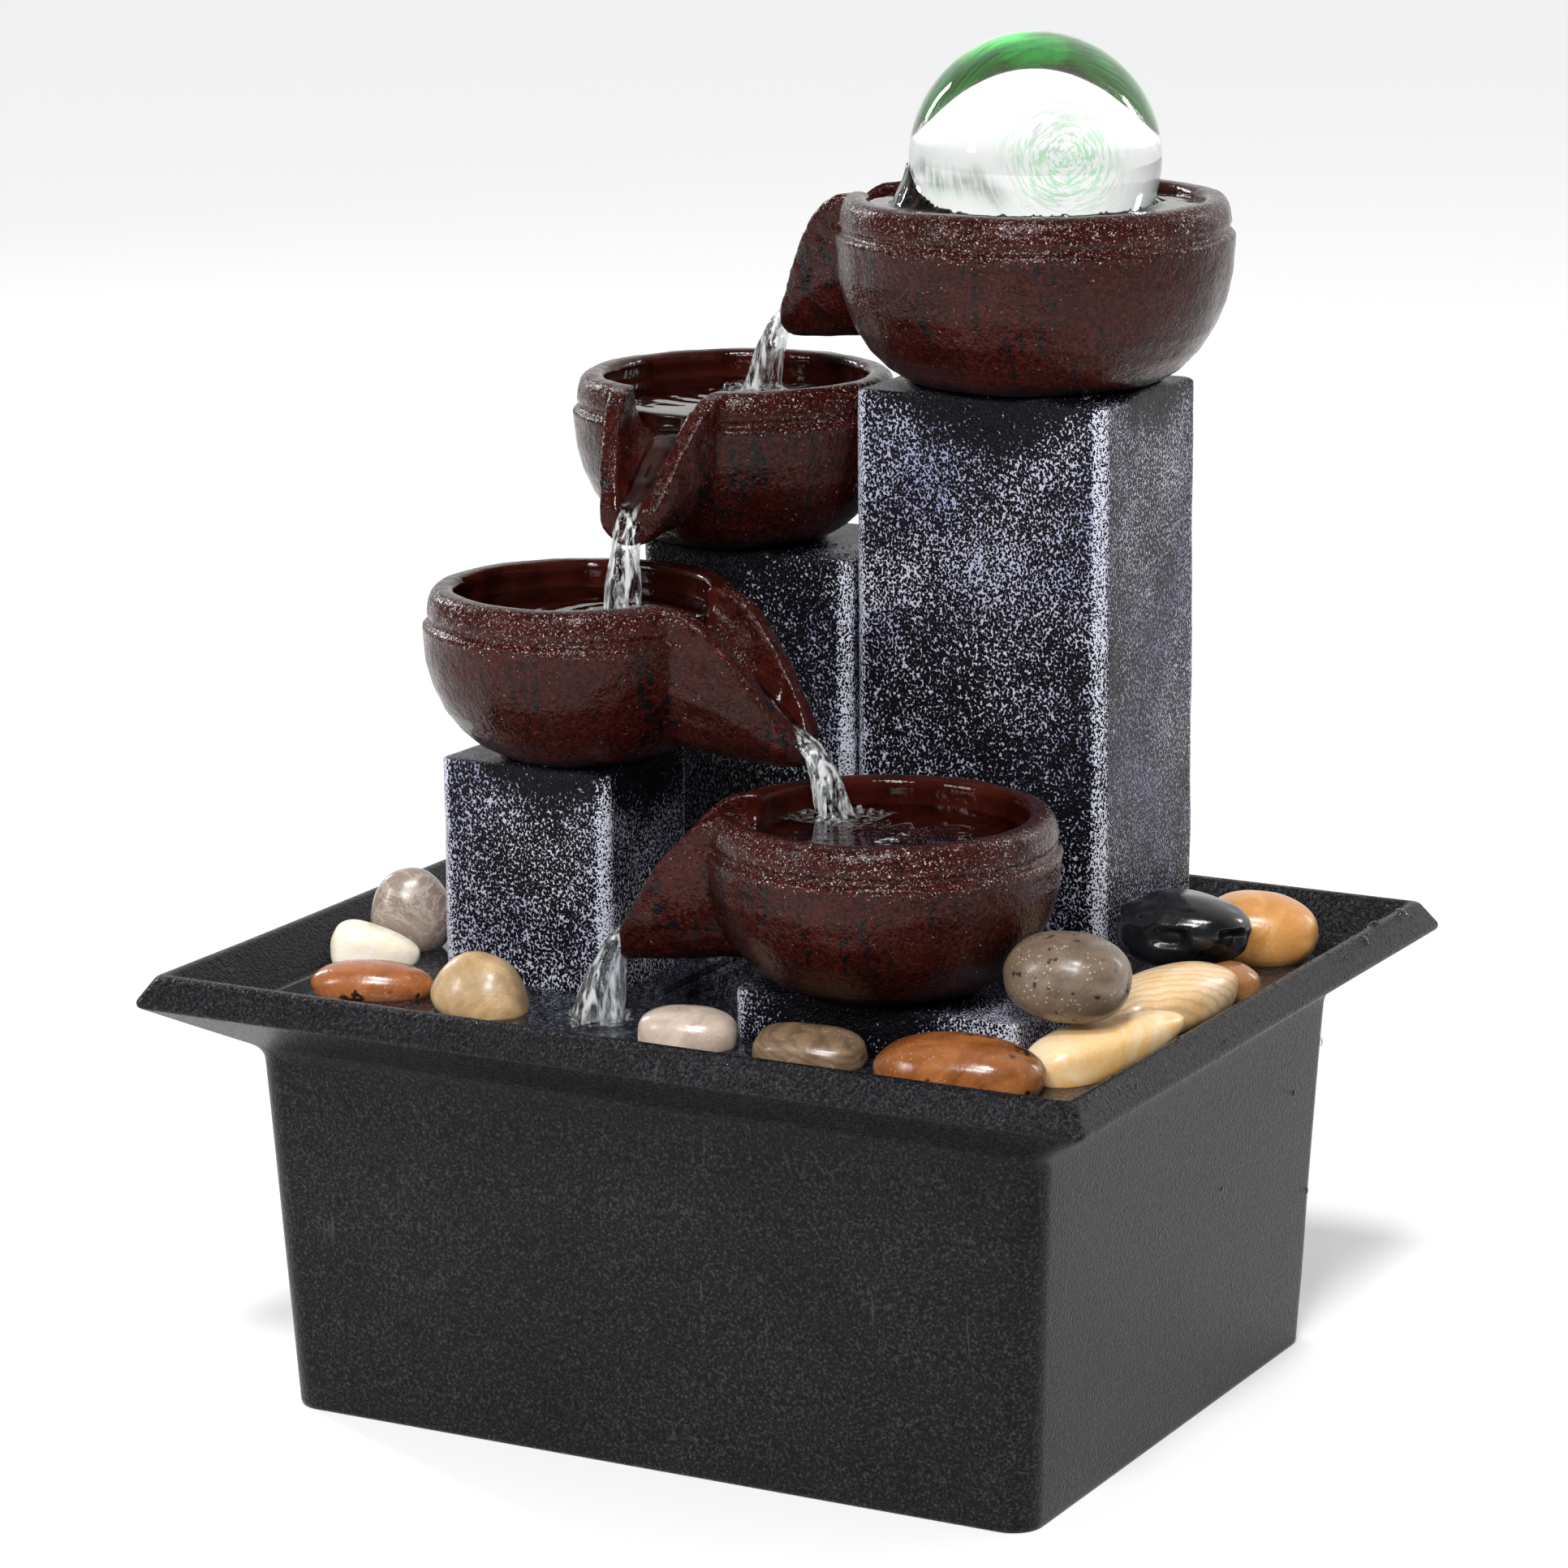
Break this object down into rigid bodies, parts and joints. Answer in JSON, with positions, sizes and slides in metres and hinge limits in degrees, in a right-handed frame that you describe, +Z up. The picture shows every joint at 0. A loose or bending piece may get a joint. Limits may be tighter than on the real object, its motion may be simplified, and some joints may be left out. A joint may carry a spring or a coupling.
{
  "type": "tabletop water fountain",
  "caption": "Tabletop fountain: lit glass ball on a tall column, bowls with spouts stepping down to a pebble tray over a pump basin.",
  "frame": {"origin": "centre of the basin's underside, on the surface it stands on", "axes": "+X along the basin's front, to the right as seen from the front; +Y to the back; +Z up"},
  "size_m": [0.212, 0.178, 0.278],
  "materials": {
    "basin_plastic": "fine leather grain, satin",
    "sponged_resin": "near-black paint with pale sponged flecks",
    "oxblood_glaze": "semi-gloss oxblood over hammered texture, black streaks",
    "clear_plastic": "clear, moulded",
    "ball_glass": "polished",
    "white_plastic": "moulded",
    "circuit_board": "solder mask",
    "lens_plastic": "clear epoxy",
    "lead_rubber": "matt",
    "clear_tube": "clear soft vinyl",
    "pump_plastic": "moulded",
    "stator_steel": "laminations potted in resin",
    "shaft_ceramic": "ground",
    "impeller_plastic": "moulded round a ferrite magnet",
    "dial_plastic": "moulded",
    "cup_rubber": "matt",
    "stone_grey_brown": "wet, polished by tumbling",
    "stone_cream": "wet, polished by tumbling",
    "stone_rust": "wet, polished by tumbling",
    "stone_tan": "wet, polished by tumbling",
    "stone_pale": "wet, polished by tumbling",
    "stone_olive": "wet, striped",
    "stone_orange": "wet, spotted",
    "stone_striped": "wet, striped",
    "stone_speckled": "speckled",
    "stone_black": "glossy"
  },
  "bodies": {
    "basin": {"basin": "basin_plastic", "pump_housing": "pump_plastic", "pump_stator": "stator_steel", "pump_cover": "pump_plastic", "pump_shaft": "shaft_ceramic", "suction_cups": "cup_rubber", "cord_gland": "lead_rubber"},
    "tower": {"tray": "sponged_resin", "tray_legs": "sponged_resin", "column_tall": "sponged_resin", "column_rear": "sponged_resin", "column_left": "sponged_resin", "plinth_front": "sponged_resin", "bowl_top": "oxblood_glaze", "bowl_rear": "oxblood_glaze", "bowl_left": "oxblood_glaze", "bowl_front": "oxblood_glaze", "ball_seat": "clear_plastic", "lamp_housing": "white_plastic", "lamp_board": "circuit_board", "lamp_lens": "lens_plastic", "lamp_lead": "lead_rubber", "lamp_plug": "lead_rubber", "lead_grommet": "lead_rubber", "riser_tube": "clear_tube", "pebble_grey_upright": "stone_grey_brown", "pebble_cream_wedge": "stone_cream", "pebble_rust_flat": "stone_rust", "pebble_tan_leaning": "stone_tan", "pebble_pale_quartz": "stone_pale", "pebble_olive_striped": "stone_olive", "pebble_orange_spotted": "stone_orange", "pebble_cream_long": "stone_cream", "pebble_striped_flat": "stone_striped", "pebble_speckled_round": "stone_speckled", "pebble_black_lump": "stone_black", "pebble_orange_large": "stone_orange", "pebble_brown_small": "stone_rust", "pebble_tan_hidden": "stone_tan", "pebble_grey_hidden": "stone_pale", "pebble_rust_hidden": "stone_rust", "pebble_cream_hidden": "stone_cream", "pebble_dark_hidden": "stone_speckled"},
    "ball": {"ball": "ball_glass"},
    "impeller": {"impeller": "impeller_plastic"},
    "strainer": {"intake_strainer": "pump_plastic"},
    "flow_dial": {"flow_dial": "dial_plastic"}
  },
  "joints": [
    {"name": "tower_lift", "type": "slide", "parent": "basin", "child": "tower", "axis": [0, 0, 1], "range_m": [0, 0.12]},
    {"name": "ball_spin", "type": "hinge", "parent": "tower", "child": "ball", "pos_m": [0.0303, 0.0475, 0.252], "axis": [0.476, -0.8794, 0], "continuous": true},
    {"name": "impeller_spin", "type": "hinge", "parent": "basin", "child": "impeller", "pos_m": [0, 0.0475, 0.024], "axis": [1, 0, 0], "continuous": true},
    {"name": "strainer_pull", "type": "slide", "parent": "basin", "child": "strainer", "axis": [1, 0, 0], "range_m": [0, 0.014]},
    {"name": "flow_dial_turn", "type": "hinge", "parent": "strainer", "child": "flow_dial", "pos_m": [0.05, 0.0475, 0.024], "axis": [1, 0, 0], "range_deg": [0, 22.5]}
  ]
}
